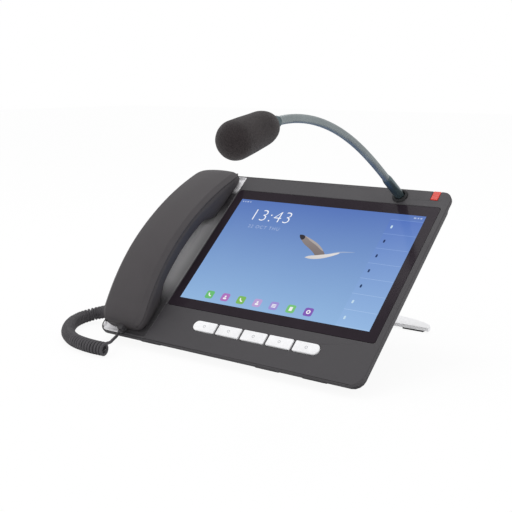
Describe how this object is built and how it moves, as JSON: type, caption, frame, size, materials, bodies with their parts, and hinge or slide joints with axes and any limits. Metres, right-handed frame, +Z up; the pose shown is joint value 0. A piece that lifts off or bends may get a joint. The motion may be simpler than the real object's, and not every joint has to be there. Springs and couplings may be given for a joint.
{
  "type": "desk ip phone",
  "caption": "Desk phone with a tilted touch screen, a corded handset in a cradle, soft keys, a gooseneck microphone and a folding rear stand.",
  "frame": {"origin": "on the desk plane, below the middle of the phone's box without its cord", "axes": "+X to the user's right, +Y away from the user, +Z up"},
  "size_m": [0.3688, 0.3667, 0.2394],
  "materials": {
    "face_plastic": "fine-textured dark grey moulding",
    "back_plastic": "textured charcoal moulding",
    "handset_plastic": "satin dark grey moulding",
    "silver_plastic": "satin silver paint on plastic",
    "screen_glass": "black bordered touch glass over a lit display",
    "display": "display panel",
    "steel": "plated steel",
    "circuit_board": "printed circuit board",
    "rubber": "black rubber",
    "white_key": "white moulded keys",
    "call_light": "red light pipe",
    "neck_metal": "dark plated gooseneck",
    "foam": "open-cell foam windscreen",
    "stand_metal": "satin silver casting",
    "cord": "dark grey cord jacket and plugs"
  },
  "bodies": {
    "body": {"front_cover": "face_plastic", "touch_glass": "screen_glass", "display_panel": "display", "chassis_plate": "steel", "main_board": "circuit_board", "processor_shield": "steel", "key_mat": "rubber", "key_board": "circuit_board", "call_light": "call_light", "cradle_tray": "silver_plastic", "hook_guide": "back_plastic", "back_cover": "back_plastic", "cover_screw_1": "steel", "cover_screw_2": "steel", "cover_screw_3": "steel", "cover_screw_4": "steel", "network_socket": "steel", "pc_socket": "steel", "headset_socket": "steel", "usb_socket": "steel", "power_socket": "back_plastic", "port_board": "circuit_board", "handset_socket": "back_plastic", "loudspeaker": "steel", "microphone_collar": "rubber", "microphone_ferrule": "neck_metal", "hinge_bracket_left": "back_plastic", "hinge_bracket_right": "back_plastic", "hinge_pin_left": "steel", "hinge_pin_right": "steel", "front_foot_left": "rubber", "front_foot_right": "rubber", "handsfree_microphone": "back_plastic", "base_plug": "cord", "base_lead": "cord", "curly_cord": "cord"},
    "key_1": {"key_1": "white_key"},
    "key_2": {"key_2": "white_key"},
    "key_3": {"key_3": "white_key"},
    "key_4": {"key_4": "white_key"},
    "key_5": {"key_5": "white_key"},
    "handset": {"handset_back_shell": "handset_plastic", "handset_front_shell": "handset_plastic", "earpiece": "steel", "handset_microphone": "steel", "handset_weight": "steel", "handset_jack": "back_plastic", "handset_plug": "cord", "handset_lead": "cord"},
    "hook": {"hook_plunger": "back_plastic"},
    "neck_base": {"neck_sleeve": "neck_metal"},
    "neck_1": {"neck_1": "neck_metal"},
    "neck_2": {"neck_2": "neck_metal"},
    "neck_3": {"neck_3": "neck_metal"},
    "neck_head": {"neck_4": "neck_metal", "microphone_capsule": "neck_metal", "windscreen": "foam"},
    "stand": {"stand_leg": "stand_metal", "stand_pad_left": "rubber", "stand_pad_right": "rubber"}
  },
  "joints": [
    {"name": "key_1_press", "type": "slide", "parent": "body", "child": "key_1", "axis": [0, 0.6508, -0.7593], "range_m": [0, 0.001], "stiffness_N_per_m": 800, "springref_m": -0.0006},
    {"name": "key_2_press", "type": "slide", "parent": "body", "child": "key_2", "axis": [0, 0.6508, -0.7593], "range_m": [0, 0.001], "stiffness_N_per_m": 800, "springref_m": -0.0006},
    {"name": "key_3_press", "type": "slide", "parent": "body", "child": "key_3", "axis": [0, 0.6508, -0.7593], "range_m": [0, 0.001], "stiffness_N_per_m": 800, "springref_m": -0.0006},
    {"name": "key_4_press", "type": "slide", "parent": "body", "child": "key_4", "axis": [0, 0.6508, -0.7593], "range_m": [0, 0.001], "stiffness_N_per_m": 800, "springref_m": -0.0006},
    {"name": "key_5_press", "type": "slide", "parent": "body", "child": "key_5", "axis": [0, 0.6508, -0.7593], "range_m": [0, 0.001], "stiffness_N_per_m": 800, "springref_m": -0.0006},
    {"name": "handset_lift", "type": "slide", "parent": "body", "child": "handset", "axis": [0, -0.6508, 0.7593], "range_m": [0, 0.06]},
    {"name": "hook_rise", "type": "slide", "parent": "body", "child": "hook", "axis": [0, -0.6508, 0.7593], "range_m": [0, 0.003]},
    {"name": "neck_swivel", "type": "hinge", "parent": "body", "child": "neck_base", "pos_m": [0.101, 0.06418, 0.1696], "axis": [0, -0.8251, 0.565], "range_deg": [-60, 60]},
    {"name": "neck_bend_1", "type": "hinge", "parent": "neck_base", "child": "neck_1", "pos_m": [0.101, 0.0584, 0.17355], "axis": [1, 0, 0], "range_deg": [-25, 20]},
    {"name": "neck_bend_2", "type": "hinge", "parent": "neck_1", "child": "neck_2", "pos_m": [0.101, 0.01965, 0.19784], "axis": [1, 0, 0], "range_deg": [-25, 20]},
    {"name": "neck_bend_3", "type": "hinge", "parent": "neck_2", "child": "neck_3", "pos_m": [0.101, -0.02182, 0.21706], "axis": [1, 0, 0], "range_deg": [-25, 20]},
    {"name": "neck_bend_4", "type": "hinge", "parent": "neck_3", "child": "neck_head", "pos_m": [0.101, -0.06607, 0.22831], "axis": [1, 0, 0], "range_deg": [-25, 20]},
    {"name": "stand_fold", "type": "hinge", "parent": "body", "child": "stand", "pos_m": [0, 0.08217, 0.08918], "axis": [1, 0, 0], "range_deg": [-88, 0]}
  ],
  "couplings": [
    {"joint": "hook_rise", "follows": "handset_lift", "ratio": 0.05}
  ]
}
